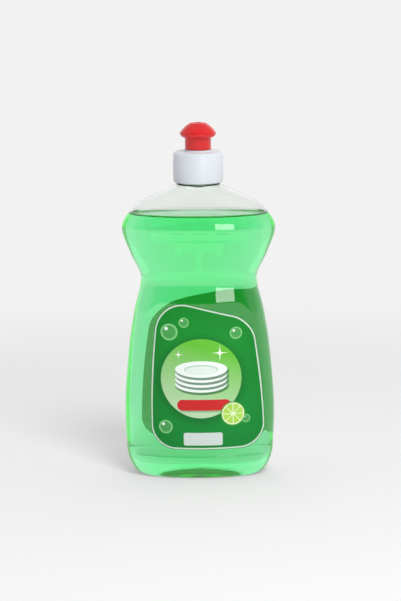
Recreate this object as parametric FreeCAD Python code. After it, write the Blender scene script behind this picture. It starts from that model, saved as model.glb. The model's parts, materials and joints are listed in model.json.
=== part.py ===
import FreeCAD, Part
import math
import os

from FreeCAD import Vector

# A 500 ml dish soap bottle: a waisted clear bottle with a screw cap and a push-pull spout.
# Millimetres. The origin is the middle of the base on the table, +Z is up and -Y is the front.

# Bottle body: spans up from the table, and how the width (along X) and depth (along Y) change from the hip's
heel_height = 20.0
heel_to_hip = 19.0
hip_to_flank = 41.0
flank_to_panel_top = 24.0
panel_top_to_waist = 19.5
waist_to_flare = 15.5
flare_to_shoulder = 16.0
shoulder_to_slope = 13.0
slope_to_neck = 14.0
hip_width = 93.0
heel_narrowing = 1.4
flank_narrowing = 5.6
panel_top_narrowing = 13.0
waist_narrowing = 21.4
flare_narrowing = 8.6
shoulder_widening = 1.6
slope_narrowing = 14.0
body_depth = 48.8
waist_thinning = 4.2
shoulder_thickening = 0.4
slope_thinning = 4.8
front_radius = 78.0
wall = 0.5

# Rounded heel and pushed-up base
heel_inset = 11.0
heel_depth_inset = 7.5
push_up_width = 56.0
push_up_depth = 21.0
push_up_height = 5.5
gate_radius = 2.2
gate_drop = 0.5

# Label panels, front and back
panel_recess = 0.6
panel_foot_height = 15.0

# Grip flutes under a ledge, front and back
grip_margin = 9.3
shoulder_to_ledge = 5.6
ledge_drop = 3.1
flute_pitch = 14.4
flute_radius = 22.0
flute_row_radius = 145.0
flute_fade = 0.1
flute_count = 5

# Neck
neck_radius = 12.7
neck_wall = 1.8
neck_overlap = 0.2
neck_height = 16.7
ring_overhang = 0.8
ring_thickness = 1.1
ring_sink = 0.6
thread_lead = 4.23
thread_turns = 1.5
thread_depth = 1.05
thread_root_sink = 0.3
thread_foot = 2.3
thread_crest = 1.1
thread_top_margin = 2.6

# Soap
fill_below_neck = 17.5
soap_gap = 0.1

# Labels: films with a raised left shoulder, seen from their own side, both nearer to the bottle's +X side
label_thickness = 0.15
label_gap = 0.05
label_foot_margin = 4.8
label_foot_near_margin = 6.3
label_foot_far_margin = 17.3
label_top_near_margin = 8.0
label_top_far_margin = 14.6
label_high_below_waist = 9.3
label_low_below_waist = 23.6
back_label_rise = 2.0
label_side_bow = 2.4
label_foot_bow = 0.6
label_high_round = 16.0
label_low_round = 14.0
label_foot_round = 13.0

# Screw cap
cap_foot_gap = 0.2
cap_wall = 1.05
cap_bulge = 0.4
cap_foot_round = 0.95
cap_top_round = 2.0
cap_ceiling = 1.9
cap_thread_gap = 0.3
cap_thread_foot = 1.75
cap_thread_crest = 0.95
collar_height = 1.0
collar_margin = 0.25

# Sealing liner
liner_thickness = 1.0
liner_gap = 0.05

# Guide tube and plug post inside the spout
tube_radius = 6.0
tube_wall = 1.2
tube_bead = 0.35
tube_bead_height = 1.2
post_radius = 2.0
post_top_gap = 0.4
rib_thickness = 1.0
rib_height = 2.5
rib_count = 3

# Spout
spout_travel = 5.5
stem_wall = 1.5
stem_height = 6.4
brim_rise = 2.8
brim_overhang = 3.25
dome_rise = 7.2
dome_top_radius = 4.5
brim_round = 0.9
dome_top_round = 0.8
dome_bulge = 1.15
spout_roof = 2.2
spout_seat_gap = 0.2
spout_bore_gap = 0.2
lip_height = 2.0
lip_gap = 0.08
lip_stop_gap = 0.2
outlet_gap = 0.06

# Heights of the body
hip_height = heel_height + heel_to_hip
flank_height = hip_height + hip_to_flank
panel_top_height = flank_height + flank_to_panel_top
waist_height = panel_top_height + panel_top_to_waist
flare_height = waist_height + waist_to_flare
shoulder_height = flare_height + flare_to_shoulder
slope_height = shoulder_height + shoulder_to_slope
neck_foot_height = slope_height + slope_to_neck
ledge_height = shoulder_height - shoulder_to_ledge
fill_height = neck_foot_height - fill_below_neck

# Widths and depths of the body, and of the grip that keeps off the waist's sides
heel_width = hip_width - heel_narrowing
flank_width = hip_width - flank_narrowing
panel_top_width = hip_width - panel_top_narrowing
waist_width = hip_width - waist_narrowing
flare_width = hip_width - flare_narrowing
shoulder_width = hip_width + shoulder_widening
slope_width = hip_width - slope_narrowing
waist_depth = body_depth - waist_thinning
shoulder_depth = body_depth + shoulder_thickening
slope_depth = body_depth - slope_thinning
grip_width = waist_width - 2 * grip_margin

# The front arc is never so tight that the side arcs vanish
front_arc_radius = max(front_radius, 0.8 * hip_width, 0.8 * shoulder_width)
flute_half_depth = waist_depth / 2 + flute_fade

# The closure is stacked on the neck
neck_bore_radius = neck_radius - neck_wall
rim_height = neck_foot_height + neck_height
ring_foot = neck_foot_height - ring_sink
liner_foot = rim_height + liner_gap
ceiling_height = liner_foot + liner_thickness + liner_gap
cap_top = ceiling_height + cap_ceiling
cap_foot = ring_foot + ring_thickness + cap_foot_gap
cap_bore_radius = neck_radius + thread_depth + cap_thread_gap
cap_edge_radius = cap_bore_radius + cap_wall
thread_start = rim_height - thread_top_margin - thread_lead * thread_turns

# The spout slides on the guide tube between its seat and the tube's bead
spout_foot = cap_top + collar_height + spout_seat_gap
spout_top = spout_foot + stem_height + brim_rise + dome_rise
spout_bore_radius = tube_radius + tube_bead + spout_bore_gap
stem_radius = spout_bore_radius + stem_wall
brim_radius = stem_radius + brim_overhang
bead_foot = spout_foot + lip_height + spout_travel + lip_stop_gap
guide_top = bead_foot + tube_bead_height


def smooth(stations, height):
    """Value at a height on a smooth curve through (height, value) stations, with no overshoot."""
    gaps = [b[0] - a[0] for a, b in zip(stations, stations[1:])]
    rises = [(b[1] - a[1]) / g for a, b, g in zip(stations, stations[1:], gaps)]
    slopes = [rises[0]]
    for left, right in zip(rises, rises[1:]):
        if left * right <= 0:
            slopes.append(0.0)
        else:
            slopes.append(2 * left * right / (left + right))
    slopes.append(rises[-1])
    index = 0
    while index < len(gaps) - 1 and height > stations[index + 1][0]:
        index += 1
    t = (height - stations[index][0]) / gaps[index]
    start, end = stations[index][1], stations[index + 1][1]
    pull_start, pull_end = slopes[index] * gaps[index], slopes[index + 1] * gaps[index]
    even = t * t * (3 - 2 * t)
    return start + even * (end - start) + t * (1 - t) * ((1 - t) * pull_start - t * pull_end)


width_stations = [
    (heel_height, heel_width),
    (hip_height, hip_width),
    (flank_height, flank_width),
    (panel_top_height, panel_top_width),
    (waist_height, waist_width),
    (flare_height, flare_width),
    (shoulder_height, shoulder_width),
    (slope_height, slope_width),
    (neck_foot_height, 2 * neck_radius),
]
depth_stations = [
    (heel_height, body_depth),
    (panel_top_height, body_depth),
    (waist_height, waist_depth),
    (shoulder_height, shoulder_depth),
    (slope_height, slope_depth),
    (neck_foot_height, 2 * neck_radius),
]


def half_width(height):
    if height < heel_height:
        fall = math.sqrt(max(0.0, 1 - (1 - height / heel_height) ** 2))
        return smooth(width_stations, heel_height) / 2 - heel_inset * (1 - fall)
    return smooth(width_stations, height) / 2


def half_depth(height):
    if height < heel_height:
        fall = math.sqrt(max(0.0, 1 - (1 - height / heel_height) ** 2))
        return smooth(depth_stations, heel_height) / 2 - heel_depth_inset * (1 - fall)
    return smooth(depth_stations, height) / 2


def side_radius_for(across, deep):
    """Radius of the side arcs that meet the front arc smoothly."""
    reach = front_arc_radius - deep
    return (front_arc_radius ** 2 - across ** 2 - reach ** 2) / (2 * (front_arc_radius - across))


def section(across, deep, height, above_shoulder):
    """Closed outline of four arcs that run into each other: front, right, back, left."""
    if above_shoulder:
        side = side_radius_for(shoulder_width / 2, shoulder_depth / 2)
        turn = math.atan2(shoulder_width / 2 - side, front_arc_radius - shoulder_depth / 2)
        share = math.sin(turn) + math.cos(turn) - 1
        side = (deep * math.sin(turn) - across * (1 - math.cos(turn))) / share
    else:
        side = side_radius_for(across, deep)
        turn = math.atan2(across - side, front_arc_radius - deep)
    joint_x = across - side + side * math.sin(turn)
    joint_y = side * math.cos(turn)
    corners = [
        Vector(-joint_x, -joint_y, height),
        Vector(joint_x, -joint_y, height),
        Vector(joint_x, joint_y, height),
        Vector(-joint_x, joint_y, height),
    ]
    middles = [
        Vector(0, -deep, height),
        Vector(across, 0, height),
        Vector(0, deep, height),
        Vector(-across, 0, height),
    ]
    edges = []
    for index in range(4):
        edges.append(Part.Arc(corners[index], middles[index], corners[(index + 1) % 4]).toShape())
    return Part.Wire(edges)


def section_heights():
    """Heights of the outlines: close together in the heel and where the shoulder runs into the neck."""
    heights = [heel_height * (1 - math.cos(math.radians(turn))) for turn in (0, 12, 24, 38, 54, 72)]
    for low, high in zip(width_stations, width_stations[1:]):
        parts = 6 if high[0] == neck_foot_height else 2
        for part in range(parts):
            heights.append(low[0] + (high[0] - low[0]) * part / parts)
    return heights


def inner_point(outline, height, inset):
    """Half size and height of an outline moved inwards along its own normal."""
    step = 0.01
    low = max(height - step, 0.0)
    slope = (outline(height + step) - outline(low)) / (height + step - low)
    length = math.hypot(1, slope)
    return outline(height) - inset / length, height + inset * slope / length


def plain_body(inset, top_radius):
    """The body without its recesses, moved inwards by the inset, closed at the neck's foot."""
    wires = []
    for height in section_heights():
        across, level = inner_point(half_width, height, inset)
        deep = inner_point(half_depth, height, inset)[0]
        wires.append(section(across, deep, level, height > shoulder_height))
    wires.append(section(top_radius, top_radius, neck_foot_height + inset, True))
    return Part.makeLoft(wires, True, False, False, 8)


def on_side(shape, side):
    """A front feature as it is, or turned half round for the back."""
    if side > 0:
        shape.rotate(Vector(0, 0, 0), Vector(0, 0, 1), 180)
    return shape


def label_panel_cut(inset, side):
    """What the label panel takes away: all that lies outside a cylinder concentric with the front."""
    reach = 2 * front_arc_radius
    foot = panel_foot_height - inset
    block = Part.makeBox(reach, body_depth, waist_height - foot, Vector(-reach / 2, -body_depth, foot))
    centre = Vector(0, front_arc_radius - body_depth / 2, foot - 1)
    keep = Part.makeCylinder(front_arc_radius - panel_recess - inset, waist_height, centre)
    return on_side(block.cut(keep), side)


def grip_cut(inset, side):
    """Upright flutes that end at a level, sloping ledge and fade out at the waist."""
    flutes = []
    foot = waist_height - inset
    for index in range(flute_count):
        x = (index - (flute_count - 1) / 2) * flute_pitch
        bottom = flute_half_depth - (flute_row_radius - math.sqrt(flute_row_radius ** 2 - x ** 2))
        centre = Vector(x, -bottom - flute_radius, foot)
        flutes.append(Part.makeCylinder(flute_radius + inset, shoulder_height - foot + inset, centre))
    flutes = flutes[0].fuse(flutes[1:])
    ledge_half_depth = half_depth(ledge_height)
    steepness = ledge_drop / max(ledge_half_depth - flute_half_depth, flute_fade)
    lift = inset * math.hypot(1, steepness)
    half = grip_width / 2 + inset
    strip = Part.makeBox(2 * half, body_depth, shoulder_height - foot, Vector(-half, -body_depth, foot))
    keep = Part.makeCone(
        front_arc_radius - (ledge_height + lift - foot) / steepness,
        front_arc_radius - (ledge_height + lift - shoulder_height) / steepness,
        shoulder_height - foot,
        Vector(0, front_arc_radius - ledge_half_depth, foot),
    )
    return on_side(flutes.common(strip).cut(keep), side)


def push_up(inset):
    """The dome that is pushed up into the base."""
    dome = Part.makeSphere(1.0)
    stretch = FreeCAD.Matrix()
    stretch.scale(push_up_width / 2 + inset, push_up_depth / 2 + inset, push_up_height + inset)
    return dome.transformGeometry(stretch)


def body(inset, top_radius):
    """The whole body with its recesses, moved inwards by the inset."""
    solid = plain_body(inset, top_radius)
    for side in (-1, 1):
        solid = solid.cut(label_panel_cut(inset, side))
        solid = solid.cut(grip_cut(inset, side))
    return solid.cut(push_up(inset))


def tube(outer_radius, inner_radius, foot, top):
    ring = Part.makeCylinder(outer_radius, top - foot, Vector(0, 0, foot))
    return ring.cut(Part.makeCylinder(inner_radius, top - foot, Vector(0, 0, foot)))


def post(radius, foot, top):
    return Part.makeCylinder(radius, top - foot, Vector(0, 0, foot))


def thread_ridge(root_radius, crest_radius, foot_width, crest_width, start_height):
    """A helical ridge of trapezoid section. A crest radius under the root radius points inwards."""
    path = Part.makeHelix(thread_lead, thread_lead * thread_turns, (root_radius + crest_radius) / 2)
    path.translate(Vector(0, 0, start_height))
    corners = [
        Vector(root_radius, 0, start_height - foot_width / 2),
        Vector(crest_radius, 0, start_height - crest_width / 2),
        Vector(crest_radius, 0, start_height + crest_width / 2),
        Vector(root_radius, 0, start_height + foot_width / 2),
    ]
    profile = Part.makePolygon(corners + corners[:1])
    return Part.Wire(path.Edges).makePipeShell([profile], True, True)


def revolved(edges):
    """A solid turned round the bottle's axis from a closed outline of (radius, height) edges."""
    return Part.Face(Part.Wire(edges)).revolve(Vector(0, 0, 0), Vector(0, 0, 1), 360)


def line(start, end):
    return Part.makeLine(Vector(start[0], 0, start[1]), Vector(end[0], 0, end[1]))


def arc(start, middle, end):
    points = [Vector(point[0], 0, point[1]) for point in (start, middle, end)]
    return Part.Arc(*points).toShape()


def round_middle(centre, radius, angle):
    """The point on a round that lies at an angle in degrees from the level."""
    turn = math.radians(angle)
    return centre[0] + radius * math.cos(turn), centre[1] + radius * math.sin(turn)


def make_bottle():
    outside = body(0.0, neck_radius - neck_overlap)
    neck = post(neck_radius, ring_foot, rim_height)
    ring = post(neck_radius + ring_overhang, ring_foot, ring_foot + ring_thickness)
    ridge = thread_ridge(
        neck_radius - thread_root_sink,
        neck_radius + thread_depth,
        thread_foot,
        thread_crest,
        thread_start,
    )
    full = outside.fuse(neck).fuse(ring).fuse(ridge)
    bore = post(neck_bore_radius, neck_foot_height - ring_sink - ring_thickness, rim_height + ring_thickness)
    cavity = body(wall, neck_bore_radius - neck_overlap).fuse(bore)
    gate = post(gate_radius, push_up_height - gate_drop, push_up_height + wall / 2)
    return full.cut(cavity).fuse(gate)


def make_soap():
    inside = body(wall + soap_gap, neck_bore_radius - soap_gap)
    reach = 2 * shoulder_width
    above = Part.makeBox(reach, reach, rim_height, Vector(-reach / 2, -reach / 2, fill_height))
    return inside.cut(above)


def upright_edges(prism, low, high, left):
    """Edges of the label's prism that run front to back between two heights, on its left or right."""
    found = []
    for edge in prism.Edges:
        start, end = edge.Vertexes[0].Point, edge.Vertexes[-1].Point
        if abs(start.y - end.y) > body_depth / 2 and low < start.z < high and (start.x < 0) == left:
            found.append(edge)
    return found


def label_prism(foot_left, foot_right, top_left, top_right, rise):
    """A label's outline, four bowed sides with rounded corners, pushed through the front."""
    foot = panel_foot_height + label_foot_margin
    corners = [
        Vector(foot_left, 0, foot),
        Vector(foot_right, 0, foot),
        Vector(top_right, 0, waist_height - label_low_below_waist + rise),
        Vector(top_left, 0, waist_height - label_high_below_waist + rise),
    ]
    bows = [
        Vector(0, 0, -label_foot_bow),
        Vector(label_side_bow, 0, 0),
        Vector(0, 0, label_foot_bow),
        Vector(-label_side_bow, 0, 0),
    ]
    edges = []
    for index in range(4):
        start, end = corners[index], corners[(index + 1) % 4]
        middle = (start + end) * 0.5 + bows[index]
        edges.append(Part.Arc(start, middle, end).toShape())
    prism = Part.Face(Part.Wire(edges)).extrude(Vector(0, -body_depth, 0))
    for left in (True, False):
        foot_edges = upright_edges(prism, 0, foot + label_foot_margin, left)
        prism = prism.makeFillet(label_foot_round, foot_edges)
        top_edges = upright_edges(prism, flank_height, waist_height, left)
        prism = prism.makeFillet(label_high_round if left else label_low_round, top_edges)
    return prism


def make_label(prism):
    """A label seen from its own side: a thin film on the panel, cut to the label's outline."""
    outer_inset = -label_gap - label_thickness
    outer = plain_body(outer_inset, neck_radius).cut(label_panel_cut(outer_inset, -1))
    inner = plain_body(-label_gap, neck_radius).cut(label_panel_cut(-label_gap, -1))
    return outer.common(prism).cut(inner)


def make_front_label():
    return make_label(label_prism(
        label_foot_far_margin - hip_width / 2,
        hip_width / 2 - label_foot_near_margin,
        label_top_far_margin - panel_top_width / 2,
        panel_top_width / 2 - label_top_near_margin,
        0.0,
    ))


def make_back_label():
    return on_side(make_label(label_prism(
        label_foot_near_margin - hip_width / 2,
        hip_width / 2 - label_foot_far_margin,
        label_top_near_margin - panel_top_width / 2,
        panel_top_width / 2 - label_top_far_margin,
        back_label_rise,
    )), 1)


def make_liner():
    return tube(cap_bore_radius - cap_thread_gap, neck_bore_radius, liner_foot, liner_foot + liner_thickness)


def make_cap():
    """A smooth barrel-sided cap with its thread inside and the spout's guide tube and plug post on top."""
    foot_centre = (cap_edge_radius - cap_foot_round, cap_foot + cap_foot_round)
    top_centre = (cap_edge_radius - cap_top_round, cap_top - cap_top_round)
    foot_start = (foot_centre[0], cap_foot)
    side_start = (cap_edge_radius, foot_centre[1])
    side_middle = (cap_edge_radius + cap_bulge, (foot_centre[1] + top_centre[1]) / 2)
    side_end = (cap_edge_radius, top_centre[1])
    top_end = (top_centre[0], cap_top)
    outside = revolved([
        line((0, cap_foot), foot_start),
        arc(foot_start, round_middle(foot_centre, cap_foot_round, -45), side_start),
        arc(side_start, side_middle, side_end),
        arc(side_end, round_middle(top_centre, cap_top_round, 45), top_end),
        line(top_end, (0, cap_top)),
        line((0, cap_top), (0, cap_foot)),
    ])
    shell = outside.cut(post(cap_bore_radius, cap_foot, ceiling_height))
    collar = post(stem_radius + collar_margin, cap_top - cap_ceiling / 2, cap_top + collar_height)
    guide = post(tube_radius, cap_top - cap_ceiling / 2, guide_top)
    bead = post(tube_radius + tube_bead, bead_foot, guide_top)
    shell = shell.fuse([collar, guide, bead])
    shell = shell.cut(post(tube_radius - tube_wall, ceiling_height, guide_top))
    inner_parts = [post(post_radius, ceiling_height, spout_top - post_top_gap)]
    for index in range(rib_count):
        corner = Vector(0, -rib_thickness / 2, ceiling_height)
        rib = Part.makeBox(tube_radius - tube_wall / 2, rib_thickness, rib_height, corner)
        rib.rotate(Vector(0, 0, 0), Vector(0, 0, 1), 360 * index / rib_count)
        inner_parts.append(rib)
    inner_parts.append(
        thread_ridge(
            cap_bore_radius + thread_root_sink,
            neck_radius + cap_thread_gap,
            cap_thread_foot,
            cap_thread_crest,
            thread_start - thread_lead / 2,
        )
    )
    return shell.fuse(inner_parts)


def is_circle(edge, radius):
    return isinstance(edge.Curve, Part.Circle) and abs(edge.Curve.Radius - radius) < 0.001


def make_spout():
    """A mushroom-shaped pull spout with a snap lip at its foot and an outlet that the plug post closes."""
    stem_top = spout_foot + stem_height
    brim_level = stem_top + brim_rise
    under_brim = (brim_radius - brim_overhang / 4, stem_top + brim_rise * 0.42)
    dome_middle = (
        (brim_radius + dome_top_radius) / 2 + dome_bulge,
        (brim_level + spout_top) / 2 + dome_bulge,
    )
    outside = revolved([
        line((0, spout_foot), (stem_radius, spout_foot)),
        line((stem_radius, spout_foot), (stem_radius, stem_top)),
        arc((stem_radius, stem_top), under_brim, (brim_radius, brim_level)),
        arc((brim_radius, brim_level), dome_middle, (dome_top_radius, spout_top)),
        line((dome_top_radius, spout_top), (0, spout_top)),
        line((0, spout_top), (0, spout_foot)),
    ])
    for radius, rounding in ((brim_radius, brim_round), (dome_top_radius, dome_top_round)):
        rims = [edge for edge in outside.Edges if is_circle(edge, radius)]
        outside = outside.makeFillet(rounding, rims)
    bore = post(spout_bore_radius, spout_foot + lip_height, spout_top - spout_roof)
    lip_bore = post(tube_radius + lip_gap, spout_foot, spout_foot + lip_height)
    outlet = post(post_radius + outlet_gap, spout_top - spout_roof, spout_top)
    return outside.cut(bore).cut(lip_bore).cut(outlet)


os.makedirs("parts", exist_ok=True)
nodes = {
    "bottle": make_bottle(),
    "dish_soap": make_soap(),
    "front_label": make_front_label(),
    "back_label": make_back_label(),
    "cap_liner": make_liner(),
    "screw_cap": make_cap(),
    "spout": make_spout(),
}
for name, shape in nodes.items():
    shape = shape.Solids[0] if len(shape.Solids) == 1 else shape
    shape.exportStep("parts/" + name + ".step")
    print(name, len(shape.Solids), "solid, valid:", shape.isValid(), round(shape.Volume / 1000, 2), "ml")
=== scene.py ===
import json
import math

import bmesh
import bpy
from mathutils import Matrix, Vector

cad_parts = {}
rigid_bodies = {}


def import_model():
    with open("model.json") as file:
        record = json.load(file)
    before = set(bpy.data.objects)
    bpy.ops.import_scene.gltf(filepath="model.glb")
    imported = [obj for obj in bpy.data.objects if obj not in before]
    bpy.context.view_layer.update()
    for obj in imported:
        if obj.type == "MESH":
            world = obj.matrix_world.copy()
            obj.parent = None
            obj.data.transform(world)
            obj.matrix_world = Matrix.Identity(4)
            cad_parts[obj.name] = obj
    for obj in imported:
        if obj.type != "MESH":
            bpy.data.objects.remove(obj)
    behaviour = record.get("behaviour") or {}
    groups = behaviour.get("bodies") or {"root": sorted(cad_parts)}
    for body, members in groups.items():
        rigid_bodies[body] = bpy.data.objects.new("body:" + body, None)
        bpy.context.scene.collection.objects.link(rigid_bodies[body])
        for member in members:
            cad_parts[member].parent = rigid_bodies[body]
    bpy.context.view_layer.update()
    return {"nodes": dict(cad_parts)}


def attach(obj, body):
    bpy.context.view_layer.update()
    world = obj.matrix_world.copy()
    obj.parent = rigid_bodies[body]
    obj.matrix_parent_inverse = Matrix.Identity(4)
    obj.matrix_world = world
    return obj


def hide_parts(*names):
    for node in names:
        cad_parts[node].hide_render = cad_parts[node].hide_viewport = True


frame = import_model()

# %% [markdown]
# # A bottle of green dish soap
#
# The frame that was just loaded is the construction model: a blown bottle, the soap in it, two
# labels, a sealing liner, a screw cap and a pull spout. This lesson dresses it. A clear bottle
# is the hardest kind of thing to render, because everything is seen through everything else, so
# the walls and the liquid get smooth meshes of their own, and the light is planned with them.

MM = 0.001
scene = bpy.context.scene

# %% [markdown]
# ## The sizes
#
# The construction model and this lesson can't share a file, so the sizes are written again here,
# in millimetres, under plain names. Heights are above the table, widths and depths are the whole
# size, and a wall or film is given by its thickness.

# %% Sizes of the body
HEEL_TOP = 20.0
WAIST = 123.5
SHOULDER = 155.0
NECK_FOOT = 182.0
NECK_RADIUS = 12.7
FRONT_RADIUS = 78.0
WIDTHS = [
    (HEEL_TOP, 91.6), (39.0, 93.0), (80.0, 87.4), (104.0, 80.0), (WAIST, 71.6),
    (139.0, 84.4), (SHOULDER, 94.6), (168.0, 79.0), (NECK_FOOT, 2 * NECK_RADIUS),
]
DEPTHS = [
    (HEEL_TOP, 48.8), (104.0, 48.8), (WAIST, 44.6),
    (SHOULDER, 49.2), (168.0, 44.0), (NECK_FOOT, 2 * NECK_RADIUS),
]
HEEL_INSET = 11.0
HEEL_DEPTH_INSET = 7.5
WALL = 0.5
PUSH_UP = (28.0, 10.5, 5.5)
GATE_RADIUS = 2.2
GATE_DROP = 0.5

# %% Sizes of the label panels and of the grip
PANEL_RECESS = 0.6
PANEL_FOOT = 15.0
PANEL_SLOPE = 1.4
GRIP_HALF = 26.5
LEDGE = 149.4
LEDGE_DROP = 1.7
FLUTE_PITCH = 14.4
FLUTE_RADIUS = 22.0
FLUTE_ROW_RADIUS = 145.0
FLUTE_DEPTH = 22.4
EDGE_SOFTNESS = 0.22

# %% Sizes of the neck and of the soap
NECK_BORE = 10.9
NECK_TOP = 198.7
BEAD_RADIUS = 13.5
THREAD_START = 189.755
THREAD_LEAD = 4.23
THREAD_TURNS = 1.5
THREAD_DEPTH = 1.05
THREAD_HALF = 1.02
THREAD_FLANK = 0.47
THREAD_FADE = 0.03
FILL = 164.5

# %% [markdown]
# ## How wide and how deep at each height
#
# A blown bottle's outline is one flowing curve. It is given by a few stations, joined by a curve
# that never overshoots them, so that the waist stays the narrowest place and the hip the widest.
# Under the heel's top the outline turns in to the standing ring along a quarter of an ellipse.

# %% The outline curve
def flowing(stations, height):
    """The value at a height on a smooth curve through (height, value) stations."""
    gaps = [b[0] - a[0] for a, b in zip(stations, stations[1:])]
    rises = [(b[1] - a[1]) / g for a, b, g in zip(stations, stations[1:], gaps)]
    slopes = [rises[0]]
    for left, right in zip(rises, rises[1:]):
        slopes.append(0.0 if left * right <= 0 else 2 * left * right / (left + right))
    slopes.append(rises[-1])
    index = 0
    while index < len(gaps) - 1 and height > stations[index + 1][0]:
        index += 1
    t = (height - stations[index][0]) / gaps[index]
    start, end = stations[index][1], stations[index + 1][1]
    pull_start, pull_end = slopes[index] * gaps[index], slopes[index + 1] * gaps[index]
    even = t * t * (3 - 2 * t)
    return start + even * (end - start) + t * (1 - t) * ((1 - t) * pull_start - t * pull_end)


def half_size(stations, heel_inset, height):
    if height < HEEL_TOP:
        fall = math.sqrt(max(0.0, 1 - (1 - height / HEEL_TOP) ** 2))
        return stations[0][1] / 2 - heel_inset * (1 - fall)
    return flowing(stations, height) / 2


def half_width(height):
    return half_size(WIDTHS, HEEL_INSET, height)


def half_depth(height):
    return half_size(DEPTHS, HEEL_DEPTH_INSET, height)


def moved_in(outline, height, inset):
    """The half size and the height of an outline's point after a move inwards along its normal."""
    low = max(height - 0.01, 0.0)
    slope = (outline(height + 0.01) - outline(low)) / (height + 0.01 - low)
    length = math.hypot(1, slope)
    return outline(height) - inset / length, height + inset * slope / length


print("half widths:", [round(half_width(z), 1) for z in (0, 5, 20, 60, 104, 123.5, 139, 155, 170)])

# %% [markdown]
# ## The oval cross-section
#
# Seen from above, the bottle is an oval of four arcs that run into each other: wide flat ones at
# the front and back, where the labels go, and tight ones at the sides. One quarter is enough,
# because the other three mirror it. The corners of the mesh are spread so that some of them
# always lie on the grip's upright edges, which keeps those edges crisp.

# %% A quarter of the oval
COLUMN_PITCH = 1.2
GRIP_CREASE = 0.08
GRIP_COLUMNS = [COLUMN_PITCH * step for step in range(22)]
GRIP_COLUMNS += [GRIP_HALF - GRIP_CREASE, GRIP_HALF + GRIP_CREASE]
SIDE_COLUMNS = 26
COLUMN_SHARE = 0.76


def arcs_of(across, deep, above_shoulder):
    """Radius of the front arc and of the side arc, and the angle at which they meet."""
    if above_shoulder:
        half, thick = half_width(SHOULDER), half_depth(SHOULDER)
        reach = FRONT_RADIUS - thick
        side = (FRONT_RADIUS ** 2 - half ** 2 - reach ** 2) / (2 * (FRONT_RADIUS - half))
        turn = math.atan2(half - side, reach)
        share = math.sin(turn) + math.cos(turn) - 1
        front = (across * math.cos(turn) - deep * (1 - math.sin(turn))) / share
        return front, (deep * math.sin(turn) - across * (1 - math.cos(turn))) / share, turn
    reach = FRONT_RADIUS - deep
    side = (FRONT_RADIUS ** 2 - across ** 2 - reach ** 2) / (2 * (FRONT_RADIUS - across))
    return FRONT_RADIUS, side, math.atan2(across - side, reach)


def quarter_of(across, deep, above_shoulder, inset=0.0):
    """Places (x, depth) along a quarter of the oval, from the middle of the front to the side."""
    front, side, turn = arcs_of(across, deep, above_shoulder)
    joint = front * math.sin(turn)

    def run_to(x):
        if x <= joint:
            return front * math.asin(x / front)
        return front * turn + side * (math.asin((x - across + side) / side) - turn)

    def place_at(run):
        if run <= front * turn:
            return front * math.sin(run / front), front * math.cos(run / front) - (front - deep)
        angle = min(turn + (run - front * turn) / side, math.pi / 2)
        return across - side + side * math.sin(angle), side * math.cos(angle)

    columns = GRIP_COLUMNS[:-2] + [x + inset for x in GRIP_COLUMNS[-2:]]
    scale = min(1.0, COLUMN_SHARE * across / columns[-1])
    runs = [run_to(x * scale) for x in columns]
    last = front * turn + side * (math.pi / 2 - turn)
    step = (last - runs[-1]) / SIDE_COLUMNS
    runs += [runs[-1] + step * (n + 1) for n in range(SIDE_COLUMNS)]
    return [place_at(run) for run in runs]


def all_round(quarter):
    """The quarter mirrored into a whole ring of (x, y), starting at the middle of the front."""
    ring = [(x, -y) for x, y in quarter[:-1]]
    ring += [(x, y) for x, y in reversed(quarter[1:])]
    ring += [(-x, y) for x, y in quarter[:-1]]
    ring += [(-x, -y) for x, y in reversed(quarter[1:])]
    return ring


print("corners in a ring:", len(all_round(quarter_of(46.5, 24.4, False))))

# %% [markdown]
# ## The recesses
#
# Two things are pressed into the front and back: a panel that lets the label lie a little below
# the surface, and upright finger flutes under a sloping ledge. Each is a limit on how far a point
# may stand from the middle. Taking the smaller of two limits with a soft edge between them gives
# the small rounds that blown plastic always has.

# %% Limits on the depth
def soft_least(a, b, softness=EDGE_SOFTNESS):
    overlap = max(softness - abs(a - b), 0.0) / softness
    return min(a, b) - overlap * overlap * softness / 4


def soft_most(a, b, softness=EDGE_SOFTNESS):
    return -soft_least(-a, -b, softness)


def panel_limit(x, inset):
    centre = FRONT_RADIUS - DEPTHS[0][1] / 2
    return math.sqrt((FRONT_RADIUS - PANEL_RECESS - inset) ** 2 - x * x) - centre


def ledge_limit(x, level, inset):
    """The sloping ledge: a cone round the axis of the front arc."""
    reach = half_depth(LEDGE)
    steepness = LEDGE_DROP / (reach - FLUTE_DEPTH)
    lift = inset * math.hypot(1, steepness)
    radius = FRONT_RADIUS - (LEDGE + lift - level) / steepness
    return math.sqrt(max(radius ** 2 - x * x, 0.0)) - (FRONT_RADIUS - reach)


def flute_limit(x, inset):
    limit = 1000.0
    for index in range(-2, 3):
        middle = index * FLUTE_PITCH
        if abs(x - middle) >= FLUTE_RADIUS:
            continue
        bottom = FLUTE_DEPTH - (FLUTE_ROW_RADIUS - math.sqrt(FLUTE_ROW_RADIUS ** 2 - middle ** 2))
        reach = math.sqrt((FLUTE_RADIUS + inset) ** 2 - (x - middle) ** 2)
        limit = soft_least(limit, bottom + FLUTE_RADIUS - reach)
    return limit


def recessed(x, depth, level, inset):
    """The depth of a point of the plain oval after the panel and the grip have been pressed in."""
    x = abs(x)
    if PANEL_FOOT - PANEL_SLOPE - inset <= level <= WAIST and x < 46:
        rise = min((level - PANEL_FOOT + inset) / PANEL_SLOPE, 0.0)
        depth = soft_least(depth, panel_limit(x, inset) - PANEL_RECESS * rise)
    if WAIST - inset <= level <= LEDGE + inset and x <= GRIP_HALF + inset:
        depth = soft_least(depth, soft_most(flute_limit(x, inset), ledge_limit(x, level, inset)))
    return depth


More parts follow.
